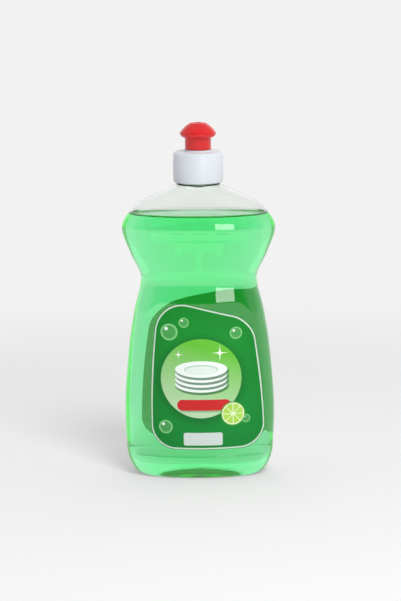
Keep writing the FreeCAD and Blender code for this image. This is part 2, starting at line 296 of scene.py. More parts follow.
# %% A ring of the body at a height
def body_ring(height, inset=0.0):
    """Places (x, y, z) round the body's surface, moved in by the inset."""
    across, level = moved_in(half_width, height, inset)
    deep = moved_in(half_depth, height, inset)[0]
    quarter = quarter_of(across, deep, height > SHOULDER, inset)
    quarter = [(x, recessed(x, depth, level, inset)) for x, depth in quarter]
    return [(x, y, level) for x, y in all_round(quarter)]


def round_ring(radius, level):
    return [(x, y, level) for x, y in all_round(quarter_of(radius, radius, True))]


def dome_ring(share, inset=0.0):
    """A ring of the pushed-up dome in the base, as a share of its size."""
    wide, deep, tall = (size + inset for size in PUSH_UP)
    ring = []
    for x, y in all_round(quarter_of(NECK_RADIUS, NECK_RADIUS, True)):
        u, v = x / NECK_RADIUS * share, y / NECK_RADIUS * share
        ring.append((u * wide, v * deep, tall * math.sqrt(max(0.0, 1 - u * u - v * v))))
    return ring


def between(first, second, share):
    return [tuple(a + (b - a) * share for a, b in zip(p, q)) for p, q in zip(first, second)]


print("waist ring:", len(body_ring(WAIST)), "corners at", round(body_ring(WAIST)[0][2], 2), "mm")

# %% [markdown]
# ## Stacking rings into a mesh
#
# Blender's own extrude does the work here. A circle is made once, its edge is extruded again and
# again, and after each step the new corners move to the next ring's places. The result is an
# even grid of four-sided faces, which is what smooth shading and refraction want. A closed
# surface then has its normals worked out afresh, so that all of them point out of the material.

# %% Rings into a closed mesh
def first_ring(bm, places, closed):
    made = bmesh.ops.create_circle(bm, cap_ends=closed, segments=len(places), radius=1.0)
    for vert, place in zip(made["verts"], places):
        vert.co = Vector(place) * MM
    return made["verts"]


def next_ring(bm, ring, places):
    """Extrudes a ring's edges once and moves the new corners to the given places."""
    edges = [bm.edges.get((a, b)) for a, b in zip(ring, ring[1:] + ring[:1])]
    made = bmesh.ops.extrude_edge_only(bm, edges=edges)["geom"]
    fresh = {item for item in made if isinstance(item, bmesh.types.BMVert)}
    order = []
    for vert in ring:
        order.append(next(o for o in (e.other_vert(vert) for e in vert.link_edges) if o in fresh))
    for vert, place in zip(order, places):
        vert.co = Vector(place) * MM
    return order


def finished(bm, name, sharp_angle=40.0):
    """Turns a closed bmesh into a smooth-shaded object whose creases over an angle stay sharp."""
    bmesh.ops.recalc_face_normals(bm, faces=bm.faces[:])
    mesh = bpy.data.meshes.new(name)
    bm.to_mesh(mesh)
    bm.free()
    mesh.shade_smooth()
    mesh.set_sharp_from_angle(angle=math.radians(sharp_angle))
    piece = bpy.data.objects.new(name, mesh)
    scene.collection.objects.link(piece)
    print(name, "has", len(mesh.vertices), "corners and", len(mesh.polygons), "faces")
    return piece


def stacked(rings, name, sharp_angle=40.0):
    """A closed object from rings, capped at the first and the last."""
    bm = bmesh.new()
    ring = first_ring(bm, rings[0], closed=True)
    for places in rings[1:]:
        ring = next_ring(bm, ring, places)
    edges = [bm.edges.get((a, b)) for a, b in zip(ring, ring[1:] + ring[:1])]
    bmesh.ops.edgeloop_fill(bm, edges=edges)
    return finished(bm, name, sharp_angle)


# %% [markdown]
# ## The heights of the rings
#
# Rings lie close together where the surface turns quickly, in the heel, at the ledge and where
# the shoulder runs into the neck, and far apart along the label panel, which is straight up.

# %% Where the rings lie
def steps(low, high, count):
    return [low + (high - low) * n / count for n in range(count)]


HEEL_HEIGHTS = [HEEL_TOP * (1 - math.cos(math.radians(turn))) for turn in range(0, 76, 6)]
FOOT_SHARES = (1.35, 1.1, 0.95, 0.7, 0.4, 0.15, 0.0, -0.2)
HEEL_HEIGHTS += [PANEL_FOOT - share * PANEL_SLOPE for share in FOOT_SHARES]
BODY_HEIGHTS = sorted(HEEL_HEIGHTS) + steps(16.6, HEEL_TOP, 2) + steps(HEEL_TOP, WAIST - 0.3, 38)
GRIP_HEIGHTS = steps(WAIST - 0.3, 145.6, 20) + steps(145.6, LEDGE, 14)
GRIP_HEIGHTS += [LEDGE, LEDGE + 0.25, LEDGE + 1.0, LEDGE + 2.4, LEDGE + 4.0]
TOP_HEIGHTS = steps(SHOULDER, 181.3, 24)
DOME_SHARES = [0.3, 0.44, 0.57, 0.68, 0.78, 0.86, 0.92, 0.965, 0.99, 1.0]
ALL_HEIGHTS = BODY_HEIGHTS + GRIP_HEIGHTS + TOP_HEIGHTS
print("rings up the body:", len(ALL_HEIGHTS))

# %% [markdown]
# ## The bottle
#
# The bottle is one blown piece of clear plastic with a wall of half a millimetre. Refraction
# needs that wall for real: light bends where it enters the plastic and again where it leaves it.
# So one skin of rings goes from the gate mark under the base up the outside, over the neck's
# rim and down the inside again. The screw thread is pressed out of the neck's rings.

# %% The neck with its thread
def thread_rise(x, y, level):
    """How far the thread stands out of the neck at a place."""
    turn = math.atan2(y, x) / (2 * math.pi) % 1.0
    rise = 0.0
    for lap in range(2):
        along = turn + lap
        if along > THREAD_TURNS:
            continue
        off = abs(level - THREAD_START - THREAD_LEAD * along)
        ridge = min(max((THREAD_HALF - off) / THREAD_FLANK, 0.0), 1.0)
        fade = min(along / THREAD_FADE, (THREAD_TURNS - along) / THREAD_FADE, 1.0)
        rise = max(rise, THREAD_DEPTH * ridge * max(fade, 0.0))
    return rise


def neck_ring(level):
    ring = []
    for x, y, z in round_ring(NECK_RADIUS, level):
        grow = 1 + thread_rise(x, y, level) / NECK_RADIUS
        ring.append((x * grow, y * grow, z))
    return ring


NECK_PROFILE = [
    (BEAD_RADIUS - 0.1, 181.45), (BEAD_RADIUS, 181.6), (BEAD_RADIUS, 182.3),
    (BEAD_RADIUS - 0.12, 182.46), (NECK_RADIUS + 0.15, 182.5), (NECK_RADIUS, 182.68),
]
RIM_PROFILE = [
    (NECK_RADIUS, 198.35), (NECK_RADIUS - 0.1, 198.58), (NECK_RADIUS - 0.35, NECK_TOP),
    (NECK_BORE + 0.35, NECK_TOP), (NECK_BORE + 0.1, 198.58), (NECK_BORE, 198.35),
]

# %% The bottle's rings, outside and inside
gate_level = PUSH_UP[2] - GATE_DROP
gate_edge = [(x, y, PUSH_UP[2] * 0.985) for x, y, z in round_ring(GATE_RADIUS, 0)]
outside = [round_ring(GATE_RADIUS - 0.15, gate_level), round_ring(GATE_RADIUS, gate_level + 0.12)]
outside += [gate_edge] + [dome_ring(share) for share in DOME_SHARES]
outside += [between(dome_ring(1.0), body_ring(0.0), share) for share in (0.3, 0.7)]
outside += [body_ring(height) for height in ALL_HEIGHTS]
outside += [round_ring(radius, level) for radius, level in NECK_PROFILE]
outside += [neck_ring(level) for level in steps(182.9, 198.2, 40)]
outside += [round_ring(radius, level) for radius, level in RIM_PROFILE]

inside = [round_ring(NECK_BORE, level) for level in (195.0, 190.0, 186.0, 183.4, 182.3)]
inside += [body_ring(height, WALL) for height in reversed(ALL_HEIGHTS[:-1])]
inner_floor = [(x, y, WALL) for x, y, z in dome_ring(0.996, WALL)]
inside += [between(body_ring(0.0, WALL), inner_floor, share) for share in (0.35, 0.75, 1.0)]
inside += [dome_ring(share, WALL) for share in reversed([0.08] + DOME_SHARES[:-2])]

bottle = stacked(outside + inside, "clear_bottle")
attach(bottle, "bottle_body")
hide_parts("bottle")

# %% [markdown]
# ## The soap
#
# Where liquid touches a wall there is no air between them, and a renderer only knows that if the
# two meshes overlap a little: with a gap the soap would look like a green block floating in
# glass. So the soap's skin lies inside the wall's thickness. At the top the liquid climbs the
# wall by nearly two millimetres, and that small curl draws the dark line round its surface.

# %% The soap's rings
SOAP_INSET = WALL - 0.12
CLIMB = 1.8
MENISCUS = [(0.4, -0.5), (0.9, -0.95), (1.6, -1.33), (2.6, -1.6), (4.0, -1.75), (5.8, -CLIMB)]

below_fill = [height for height in ALL_HEIGHTS if height < FILL - 0.5]
soap_floor = [(x, y, SOAP_INSET) for x, y, z in dome_ring(0.997, SOAP_INSET)]
soap = [dome_ring(share, SOAP_INSET) for share in [0.08] + DOME_SHARES[:-2]]
soap += [between(soap_floor, body_ring(0.0, SOAP_INSET), share) for share in (0.0, 0.3, 0.7)]
soap += [body_ring(height, SOAP_INSET) for height in below_fill]
soap.append([(x, y, FILL) for x, y, z in body_ring(FILL, SOAP_INSET)])
for reach, fall in MENISCUS:
    edge = body_ring(FILL + fall, SOAP_INSET + reach)
    soap.append([(x, y, FILL + fall) for x, y, z in edge])
flat = soap[-1]
centre = [(0.0, 0.0, FILL - CLIMB)] * len(flat)
soap += [between(flat, centre, share) for share in (0.2, 0.4, 0.6, 0.8, 0.97)]

liquid = stacked(soap, "soap_fill", 50.0)
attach(liquid, "bottle_body")
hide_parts("dish_soap")

# %% [markdown]
# ## The label films
#
# Each label is one cut of printed film with a raised left shoulder, and the two differ a little
# in where they stand on the bottle. A four-cornered face is rounded at its corners by a vertex
# bevel, its sides are cut into short lengths and bowed a little, and rings shrink from that
# outline to the middle. The flat film is then laid on the panel, a hair into the plastic, since
# glue leaves no air between them, and thickened outwards. Each corner keeps its distance from
# the film's edge, so that the print can follow the edge.

# %% A film in the flat
LABEL_FOOT = 19.8
FRONT_CORNERS = [(-29.2, LABEL_FOOT), (40.2, LABEL_FOOT), (32.0, 99.9), (-25.4, 114.2)]
FRONT_ROUNDS = [13.5, 14.4, 11.7, 19.6]
FRONT_MIDDLE = (4.4, 64.0)
BACK_CORNERS = [(-40.2, LABEL_FOOT), (31.8, LABEL_FOOT), (24.8, 101.9), (-32.0, 116.2)]
BACK_ROUNDS = [14.4, 13.5, 11.5, 18.8]
BACK_MIDDLE = (-4.4, 65.0)
SIDE_BOW = 2.4
FOOT_BOW = 0.6
BOW_TOP = 107.0
BOW_REACH = 32.0
LABEL_BANDS = [0.3, 0.6, 1.6, 1.9, 3.0]
LABEL_SHARES = [1 - n / 26 for n in range(1, 26)]


def bowed(x, z, middle):
    """Bows the straight sides of the label outwards."""
    up = min(max((z - LABEL_FOOT) / (BOW_TOP - LABEL_FOOT) * 2 - 1, -1.0), 1.0)
    right = min(max((x - middle[0]) / BOW_REACH, -1.0), 1.0)
    return x + SIDE_BOW * right * (1 - up * up), z + FOOT_BOW * up * (1 - right * right)


def label_outline(corners, rounds, middle):
    """The film's outline in the flat, as (x, z) places in order."""
    bm = bmesh.new()
    verts = [bm.verts.new((x * MM, 0, z * MM)) for x, z in corners]
    bm.faces.new(verts)
    for vert, radius in zip(verts, rounds):
        bmesh.ops.bevel(
            bm, geom=[vert], offset=radius * MM, offset_type="OFFSET", segments=14,
            profile=0.5, affect="VERTICES", material=-1,
        )
    for edge in [e for e in bm.edges if e.calc_length() > 5 * MM]:
        cuts = int(edge.calc_length() / (1.4 * MM))
        bmesh.ops.subdivide_edges(bm, edges=[edge], cuts=cuts)
    bm.faces.ensure_lookup_table()
    places = [bowed(v.co.x / MM, v.co.z / MM, middle) for v in bm.faces[0].verts]
    bm.free()
    return places


front_outline = label_outline(FRONT_CORNERS, FRONT_ROUNDS, FRONT_MIDDLE)
back_outline = label_outline(BACK_CORNERS, BACK_ROUNDS, BACK_MIDDLE)
for outline in (front_outline, back_outline):
    print("label outline:", len(outline), "corners, x", round(min(p[0] for p in outline), 1), "to",
          round(max(p[0] for p in outline), 1), "z", round(max(p[1] for p in outline), 1))

# %% The film laid on the panel
FILM_OUT = 0.2
FILM_IN = 0.04


def panel_depth(x, z, lift):
    """How far from the middle the film's face stands at a place on the front."""
    across, deep = half_width(z) + lift, half_depth(z) + lift
    front, side, turn = arcs_of(across, deep, False)
    x = abs(x)
    if x <= front * math.sin(turn):
        depth = math.sqrt(front ** 2 - x * x) - (front - deep)
    else:
        depth = math.sqrt(max(side ** 2 - (x - across + side) ** 2, 0.0))
    return soft_least(depth, panel_limit(x, -lift))


def film_grid(outline, middle):
    """Rings of (x, z, distance from the edge) from the outline to the middle."""
    cx, cz = middle
    reach = [math.hypot(x - cx, z - cz) for x, z in outline]
    rings = []
    for band in [0.0] + LABEL_BANDS:
        rings.append([
            (cx + (x - cx) * (1 - band / r), cz + (z - cz) * (1 - band / r), band)
            for (x, z), r in zip(outline, reach)
        ])
    last = rings[-1]
    for share in LABEL_SHARES:
        rings.append([
            (cx + (x - cx) * share, cz + (z - cz) * share, LABEL_BANDS[-1] + (1 - share) * r)
            for (x, z, band), r in zip(last, reach)
        ])
    return rings


def film(name, side, outline, middle):
    """A label film on the front (side -1) or turned half round onto the back (side 1)."""
    rings = film_grid(outline, middle)
    bm = bmesh.new()
    edge_layer = bm.verts.layers.float.new("from_edge")

    def laid(ring):
        return [(x * -side, side * panel_depth(x, z, -FILM_IN), z) for x, z, band in ring]

    ring = first_ring(bm, laid(rings[0]), closed=False)
    for number, flat_ring in enumerate(rings):
        if number:
            ring = next_ring(bm, ring, laid(flat_ring))
        for vert, (x, z, band) in zip(ring, flat_ring):
            vert[edge_layer] = band
    edges = [bm.edges.get((a, b)) for a, b in zip(ring, ring[1:] + ring[:1])]
    bmesh.ops.edgeloop_fill(bm, edges=edges)
    bmesh.ops.recalc_face_normals(bm, faces=bm.faces[:])
    made = bmesh.ops.extrude_face_region(bm, geom=bm.faces[:], use_keep_orig=True)["geom"]
    for vert in [item for item in made if isinstance(item, bmesh.types.BMVert)]:
        x, z = vert.co.x / MM, vert.co.z / MM
        vert.co.y = side * panel_depth(x * -side, z, FILM_OUT) * MM
    return finished(bm, name, 30.0)


front_film = film("front_label_film", -1, front_outline, FRONT_MIDDLE)
back_film = film("back_label_film", 1, back_outline, BACK_MIDDLE)
for piece, node in ((front_film, "front_label"), (back_film, "back_label")):
    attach(piece, "bottle_body")
    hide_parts(node)

# %% [markdown]
# ## The cap and the spout
#
# Both closures are turned shapes, so each starts as one closed outline of its wall in section.
# Every corner gets its own small round from a vertex bevel, because moulded plastic has no
# knife edges, and then the outline is spun about the bottle's axis. A full spin merges its
# last step into its first.

# %% Spinning a section
def arc_through(start, middle, end, count):
    """Places strictly between two ends on the circle through three (radius, height) places."""
    ax, ay, bx, by, cx, cy = *start, *middle, *end
    d = 2 * (ax * (by - cy) + bx * (cy - ay) + cx * (ay - by))
    a2, b2, c2 = ax * ax + ay * ay, bx * bx + by * by, cx * cx + cy * cy
    ux = (a2 * (by - cy) + b2 * (cy - ay) + c2 * (ay - by)) / d
    uy = (a2 * (cx - bx) + b2 * (ax - cx) + c2 * (bx - ax)) / d
    radius = math.hypot(ax - ux, ay - uy)
    first, mid, last = (math.atan2(y - uy, x - ux) for x, y in (start, middle, end))
    if not min(first, last) <= mid <= max(first, last):
        last += 2 * math.pi if last < first else -2 * math.pi
    angles = [first + (last - first) * n / (count + 1) for n in range(1, count + 1)]
    return [(ux + radius * math.cos(a), uy + radius * math.sin(a), 0) for a in angles]


def add_turned(bm, corners, turns=144):
    """Adds a turned shape from its closed section of (radius, height, round) corners."""
    part = bmesh.new()
    verts = [part.verts.new((radius * MM, 0, height * MM)) for radius, height, _ in corners]
    part.faces.new(verts)
    for vert, (_, _, rounding) in zip(verts, corners):
        if rounding:
            bmesh.ops.bevel(
                part, geom=[vert], offset=rounding * MM, offset_type="OFFSET", segments=5,
                profile=0.5, affect="VERTICES", material=-1,
            )
    bmesh.ops.delete(part, geom=part.faces[:], context="FACES_ONLY")
    on_axis = [e for e in part.edges if max(abs(v.co.x) for v in e.verts) < 1e-7]
    bmesh.ops.delete(part, geom=on_axis, context="EDGES")
    bmesh.ops.spin(
        part, geom=part.verts[:] + part.edges[:], cent=(0, 0, 0), axis=(0, 0, 1),
        dvec=(0, 0, 0), angle=2 * math.pi, steps=turns, use_merge=True,
    )
    bmesh.ops.remove_doubles(part, verts=part.verts[:], dist=1e-7)
    bmesh.ops.recalc_face_normals(part, faces=part.faces[:])
    mesh = bpy.data.meshes.new("turned")
    part.to_mesh(mesh)
    part.free()
    bm.from_mesh(mesh)
    bpy.data.meshes.remove(mesh)


# %% The white screw cap
CAP_FOOT = 182.7
CAP_TOP = 201.7
CAP_EDGE = 15.1
CAP_WAIST = 15.5
CAP_BORE = 14.05
CEILING = 199.8
COLLAR = (8.3, 202.7)
TUBE = 6.0
TUBE_BORE = 4.8
BEAD = (6.35, 210.6, 211.8)
POST = (2.0, 218.9)

cap_mesh = bmesh.new()
side = arc_through((CAP_EDGE, 183.65), (CAP_WAIST, 191.7), (CAP_EDGE, 199.7), 9)
add_turned(cap_mesh, [
    (CAP_BORE, CAP_FOOT, 0.2), (CAP_EDGE - 0.02, CAP_FOOT, 0.8), *side[1:-1],
    (CAP_EDGE - 0.05, CAP_TOP, 1.8), (COLLAR[0], CAP_TOP, 0.25), (COLLAR[0], COLLAR[1], 0.2),
    (TUBE, COLLAR[1], 0.1), (TUBE, BEAD[1], 0.1), (BEAD[0], BEAD[1], 0.1),
    (BEAD[0], BEAD[2], 0.25), (TUBE_BORE, BEAD[2], 0.15), (TUBE_BORE, CEILING, 0.1),
    (CAP_BORE, CEILING, 0.4),
])
add_turned(cap_mesh, [(0, CEILING, 0), (POST[0], CEILING, 0), (POST[0], POST[1], 0.4), (0, POST[1], 0)], 48)

# %% [markdown]
# The post inside the guide tube stands on three small ribs, and the cap's inner thread is a
# short ridge that climbs as it goes round. The same spin makes it, with a little lift a step.

# %% Ribs and inner thread of the cap
RIB = (5.4, 1.0, 2.5)
CAP_THREAD = [(14.35, 0.875), (13.0, 0.475), (13.0, -0.475), (14.35, -0.875)]
THREAD_STEPS = 108

for index in range(3):
    made = bmesh.ops.create_cube(cap_mesh, size=1.0)["verts"]
    bmesh.ops.scale(cap_mesh, vec=Vector(RIB) * MM, verts=made)
    bmesh.ops.translate(cap_mesh, vec=Vector((RIB[0] / 2, 0, CEILING + RIB[2] / 2)) * MM, verts=made)
    turn = Matrix.Rotation(math.radians(120 * index), 3, "Z")
    bmesh.ops.rotate(cap_mesh, cent=(0, 0, 0), matrix=turn, verts=made)

ridge = bmesh.new()
start = THREAD_START - THREAD_LEAD / 2
corners = [ridge.verts.new((radius * MM, 0, (start + up) * MM)) for radius, up in CAP_THREAD]
section = ridge.faces.new(corners)
bmesh.ops.spin(
    ridge, geom=[section], cent=(0, 0, 0), axis=(0, 0, 1),
    dvec=(0, 0, THREAD_LEAD * THREAD_TURNS / THREAD_STEPS * MM),
    angle=2 * math.pi * THREAD_TURNS, steps=THREAD_STEPS, use_merge=False, use_duplicate=False,
)
bmesh.ops.recalc_face_normals(ridge, faces=ridge.faces[:])
heights = [v.co.z / MM for v in ridge.verts]
print("cap thread from", round(min(heights), 2), "to", round(max(heights), 2), "mm")
ridge_mesh = bpy.data.meshes.new("ridge")
ridge.to_mesh(ridge_mesh)
ridge.free()
cap_mesh.from_mesh(ridge_mesh)
bpy.data.meshes.remove(ridge_mesh)

cap = finished(cap_mesh, "white_cap", 35.0)
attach(cap, "cap_body")
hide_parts("screw_cap")

# %% The red pull spout
STEM = 8.05
SPOUT_FOOT = 202.9
STEM_TOP = 209.9
BRIM = (11.3, 212.9)
DOME_TOP = (4.5, 219.3)
OUTLET = 2.06
ROOF = 217.1
SPOUT_BORE = 6.55
LIP = (6.08, 204.9)

spout_mesh = bmesh.new()
under = arc_through((STEM, STEM_TOP), (10.45, 211.2), BRIM, 7)
over = arc_through(BRIM, (8.3, 216.55), DOME_TOP, 11)
add_turned(spout_mesh, [
    (LIP[0], SPOUT_FOOT, 0.1), (STEM, SPOUT_FOOT, 0.3), (STEM, STEM_TOP, 0.25), *under[1:-1],
    (*BRIM, 0.55), *over[1:-1], (*DOME_TOP, 0.6), (OUTLET, DOME_TOP[1], 0.3), (OUTLET, ROOF, 0.1),
    (SPOUT_BORE, ROOF, 0.5), (SPOUT_BORE, LIP[1], 0.1), (LIP[0], LIP[1], 0.1),
])
spout = finished(spout_mesh, "red_spout", 35.0)
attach(spout, "spout_body")
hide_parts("spout")

# %% [markdown]
# ## Shader sums as sentences
#
# A material in Blender is a graph, and a graph is hard to read in a script. The small class
# below wraps one output of a node, so that plain arithmetic on it adds the Math nodes, and a
# print can be written as what it is: a disc here, a band there, one colour laid over another.

# %% One socket that can be reckoned with
class Signal:
    """An output socket of a finish, with arithmetic."""

    def __init__(self, finish, socket):
        self.finish = finish
        self.socket = socket

    def __add__(self, other):
        return self.finish.maths("ADD", self, other)

    __radd__ = __add__

    def __sub__(self, other):
        return self.finish.maths("SUBTRACT", self, other)

    def __rsub__(self, other):
        return self.finish.maths("SUBTRACT", other, self)

    def __mul__(self, other):
        return self.finish.maths("MULTIPLY", self, other)

    __rmul__ = __mul__

    def __truediv__(self, other):
        return self.finish.maths("DIVIDE", self, other)

    def __pow__(self, other):
        return self.finish.maths("POWER", self, other)

    def __abs__(self):
        return self.finish.maths("ABSOLUTE", self)

    def most(self, other):
        return self.finish.maths("MAXIMUM", self, other)

    def least(self, other):
        return self.finish.maths("MINIMUM", self, other)

    def under(self, edge, soft=0.12):
        """1 where the signal is under the edge and 0 over it, with a soft step between."""
        return self.finish.node(
            "ShaderNodeMapRange", {"interpolation_type": "SMOOTHSTEP"},
            {
                "Value": self, "From Min": edge - soft, "From Max": edge + soft,
                "To Min": 1.0, "To Max": 0.0,
            },
        )


class Finish:
    """A material whose shader is written as expressions."""

    def __init__(self, name):
        self.material = bpy.data.materials.new(name)
        self.material.use_nodes = True
        self.tree = self.material.node_tree
        self.tree.nodes.clear()

    def node(self, kind, settings=None, sockets=None, output=0):
        """Any node: its settings are set first, then its sockets by name or number."""
        made = self.tree.nodes.new(kind)
        for key, value in (settings or {}).items():
            if key == "stops":
                ramp = made.color_ramp
                while len(ramp.elements) < len(value):
                    ramp.elements.new(1.0)
                for element, (place, colour) in zip(ramp.elements, value):
                    element.position = place
                    element.color = (*colour, 1.0)
            else:
                setattr(made, key, value)
        for key, value in (sockets or {}).items():
            if isinstance(value, Signal):
                self.tree.links.new(value.socket, made.inputs[key])
            else:
                made.inputs[key].default_value = value
        return Signal(self, made.outputs[output])

    def maths(self, operation, *values):
        return self.node("ShaderNodeMath", {"operation": operation}, dict(enumerate(values)))

    def mix(self, factor, first, second):
        """The first colour where the factor is 0, and the second where it is 1."""
        pair = [tone if isinstance(tone, Signal) else (*tone, 1.0) for tone in (first, second)]
        return self.node(
            "ShaderNodeMix", {"data_type": "RGBA", "clamp_factor": True},
            {0: factor, 6: pair[0], 7: pair[1]}, 2,
        )

    def place(self):
        """The place on the piece in millimetres, as three signals."""
        where = self.node("ShaderNodeTexCoord", output=3)
        split = self.node("ShaderNodeSeparateXYZ", None, {0: where})
        outputs = split.socket.node.outputs
        return [Signal(self, outputs[n]) * (1 / MM) for n in range(3)]

    def noise(self, per_metre, detail=2.0, roughness=0.5, stretch=(1, 1, 1)):
        where = self.node("ShaderNodeTexCoord", output=3)
        if stretch != (1, 1, 1):
            where = self.node("ShaderNodeMapping", None, {0: where, "Scale": stretch})
        return self.node(
            "ShaderNodeTexNoise", None,
            {"Vector": where, "Scale": per_metre, "Detail": detail, "Roughness": roughness},
        )

    def bump(self, height, strength, distance):
        return self.node(
            "ShaderNodeBump", None, {"Height": height, "Strength": strength, "Distance": distance},
        )

    def surface(self, sockets, volume=None):
        """Ends the shader in one Principled surface, with a volume inside it if there is one."""
        shader = self.node("ShaderNodeBsdfPrincipled", None, sockets)
        out = {"Surface": shader}
        if volume:
            out["Volume"] = volume
        end = self.tree.nodes.new("ShaderNodeOutputMaterial")
        for key, value in out.items():
            self.tree.links.new(value.socket, end.inputs[key])
        return self.material


def colour(red, green, blue):
    """A colour as read off a screen, 0 to 255, as Blender's linear light."""
    def linear(value):
        value /= 255
        return value / 12.92 if value <= 0.04045 else ((value + 0.055) / 1.055) ** 2.4
    return linear(red), linear(green), linear(blue)


def dress(piece, material):
    piece.data.materials.clear()
    piece.data.materials.append(material)
    print(piece.name, "wears", material.name, "with", len(material.node_tree.nodes), "nodes")


# %% [markdown]
# ## Clear plastic
#
# Blown plastic isn't optically flat. Slow waves in its wall bend what is seen through it, and
# handling leaves it a little duller in patches. Both come from noise: one in the bump, one in
# the roughness.

# %% The bottle's plastic
plastic = Finish("blown_clear_plastic")
waves = plastic.noise(55, 1.0, 0.4, (1.0, 1.0, 0.45))
handling = plastic.noise(140, 3.0, 0.6)
dress(bottle, plastic.surface({
    "Base Color": (0.997, 1.0, 0.998, 1.0),
    "Roughness": 0.015 + 0.03 * handling,
    "IOR": 1.5,
    "Transmission Weight": 1.0,
    "Normal": plastic.bump(waves, 0.12, 0.0008),
}))

# %% [markdown]
# ## Green soap
#
# The soap is clear, and its green comes from the depth of liquid that light has crossed, so it
# is pale at the thin edges and full in the middle. That is absorption in a volume: red goes
# first, then blue, and green passes almost freely.

# %% The liquid
soap_finish = Finish("clear_green_soap")
absorb = soap_finish.node(
    "ShaderNodeVolumeAbsorption", None, {"Color": (0.03, 0.998, 0.44, 1.0), "Density": 50.0},
)
swirl = soap_finish.noise(30, 1.0, 0.4)
dress(liquid, soap_finish.surface({
    "Base Color": (1.0, 1.0, 1.0, 1.0),
    "Roughness": 0.004 * swirl,
    "IOR": 1.36,
    "Transmission Weight": 1.0,
}, absorb))

# %% [markdown]
# ## The printed labels
#
# The print is a plain household design: a green ground that darkens towards the edges, a silver
# line round it, a large pale disc with a stack of white plates, a red band, a slice of lime and
# some bubbles. Every shape is a distance or a band in millimetres on the film, laid over the
# ground one after the other, the way a printer lays down inks.

# %% Shapes of the print
def disc(x, z, cx, cz, radius, soft=0.12):
    return (((x - cx) ** 2 + (z - cz) ** 2) ** 0.5).under(radius, soft)


def oval(x, z, cx, cz, wide, tall, soft=0.03):
    u, v = (x - cx) * (1 / wide), (z - cz) * (1 / tall)
    return ((u * u + v * v) ** 0.5).under(1.0, soft)


def block(x, z, cx, cz, wide, tall, rounding, soft=0.12):
    """A rectangle with rounded corners."""
    u = (abs(x - cx) - (wide / 2 - rounding)).most(0.0)
    v = (abs(z - cz) - (tall / 2 - rounding)).most(0.0)
    return ((u * u + v * v) ** 0.5).under(rounding, soft)


# %% What both prints share
# Painted glow for the films' inner side: an emission standing in for light coming through the film from
# behind.
PAINTED_BACKLIGHT_GLOW = (0.008, 0.26, 0.052)
INNER_GREEN = colour(26, 134, 48)
LINE_OUTER, LINE_INNER = 0.35, 1.25
BUBBLE_GREEN = colour(150, 222, 150)


def ground(print_, x, z, edge):
    """The green ground: deep at the edges and foot, fresher towards the top."""
    rise = (z - 20.0) * (1 / 90.0)
    base = print_.mix(rise, colour(18, 132, 54), colour(20, 142, 42))
    base = print_.mix(edge.under(9.0, 9.0) * 0.3, base, colour(12, 112, 40))
    grain = print_.noise(900, 2.0, 0.6)
    return print_.mix(grain * 0.1, base, colour(40, 164, 60))


def silver_line(print_, base, edge):
    band = edge.under(LINE_INNER, 0.1) * (1 - edge.under(LINE_OUTER, 0.1))
    return print_.mix(band, base, colour(205, 222, 208))


def add_bubble(print_, ink, x, z, cx, cz, radius):
    hollow = disc(x, z, cx, cz, radius * 0.8, 0.5) * 0.72
    return print_.mix(disc(x, z, cx, cz, radius) * (1 - hollow) * 0.75, ink, BUBBLE_GREEN)


def faces_back(print_):
    """1 on the faces of a film that look towards the back of the bottle."""
    normal = print_.node("ShaderNodeTexCoord", output=1)
    return 1 - print_.node("ShaderNodeSeparateXYZ", None, {0: normal}, 1).under(0.0, 0.02)


def film_surface(print_, ink, inner_side, inner_tone):
    """A printed film: ink outside, and plain on the side towards the soap, with a faint painted glow there
    standing in for light that comes through the film from behind.
    """
    return print_.surface({
        "Base Color": print_.mix(inner_side, ink, inner_tone),
        # The inner side gets a painted glow, an emission standing in for light through the film.
        "Emission Color": print_.mix(inner_side, (0.0, 0.0, 0.0), PAINTED_BACKLIGHT_GLOW),
        "Emission Strength": 1.0,
        "Roughness": 0.3 + 0.08 * print_.noise(260, 3.0, 0.6),
        "IOR": 1.5,
        "Specular IOR Level": 0.12,
        "Coat Weight": 0.1,
        "Coat Roughness": 0.15,
        "Normal": print_.bump(print_.noise(700, 2.0, 0.5), 0.05, 0.0002),
    })


# %% Places on the front print
DISC = (1.0, 64.0, 24.8)
DISC_SHADE = (1.0, 63.0, 27.0, 4.0)
BUBBLES = [
    (-18.5, 93.0, 5.2), (-9.5, 99.0, 3.1), (22.5, 92.0, 3.8), (-21.0, 33.5, 4.2), (28.5, 38.0, 2.6),
]
PLATE_LEVELS = (60.5, 63.6, 66.7, 69.8)
PLATE = (16.0, 5.2)
PLATE_SHADE = (16.4, 5.4, 0.05)
WELL = (1.0, 69.6, 10.4, 3.0)
WELL_FLOOR = (1.0, 69.3, 9.7, 2.6)
SPARKS = [(12.5, 80.0, 4.6), (-13.0, 79.0, 3.0)]
RED_BAR = (2.6, 47.4, 33.0, 6.8, 3.4)
RED_BAR_SHADE = (3.2, 46.6, 33.4, 7.2, 3.6, 0.6)
SLICE = (20.5, 41.5)
RIND, PITH, FLESH = 7.6, 6.9, 6.2
PALE_PANEL = (2.0, 26.0, 24.0, 8.0, 1.2)

# %% The front print
front_print = Finish("front_label_print")
px, _, pz = front_print.place()
edge = front_print.node("ShaderNodeAttribute", {"attribute_name": "from_edge"}, output=2)
ink = ground(front_print, px, pz, edge)

ink = front_print.mix(disc(px, pz, *DISC_SHADE) * 0.55, ink, colour(14, 92, 40))
tone = (pz - 40.0) * (1 / 50.0) + (px + 20.0) * 0.006
pale = front_print.mix(tone, colour(196, 222, 188), colour(104, 194, 58))
ink = front_print.mix(disc(px, pz, *DISC), ink, pale)

for cx, cz, radius in BUBBLES:
    shine = disc(px, pz, cx - radius * 0.35, cz + radius * 0.4, radius * 0.2, 0.25)
    ink = add_bubble(front_print, ink, px, pz, cx, cz, radius)
    ink = front_print.mix(shine, ink, colour(240, 252, 240))

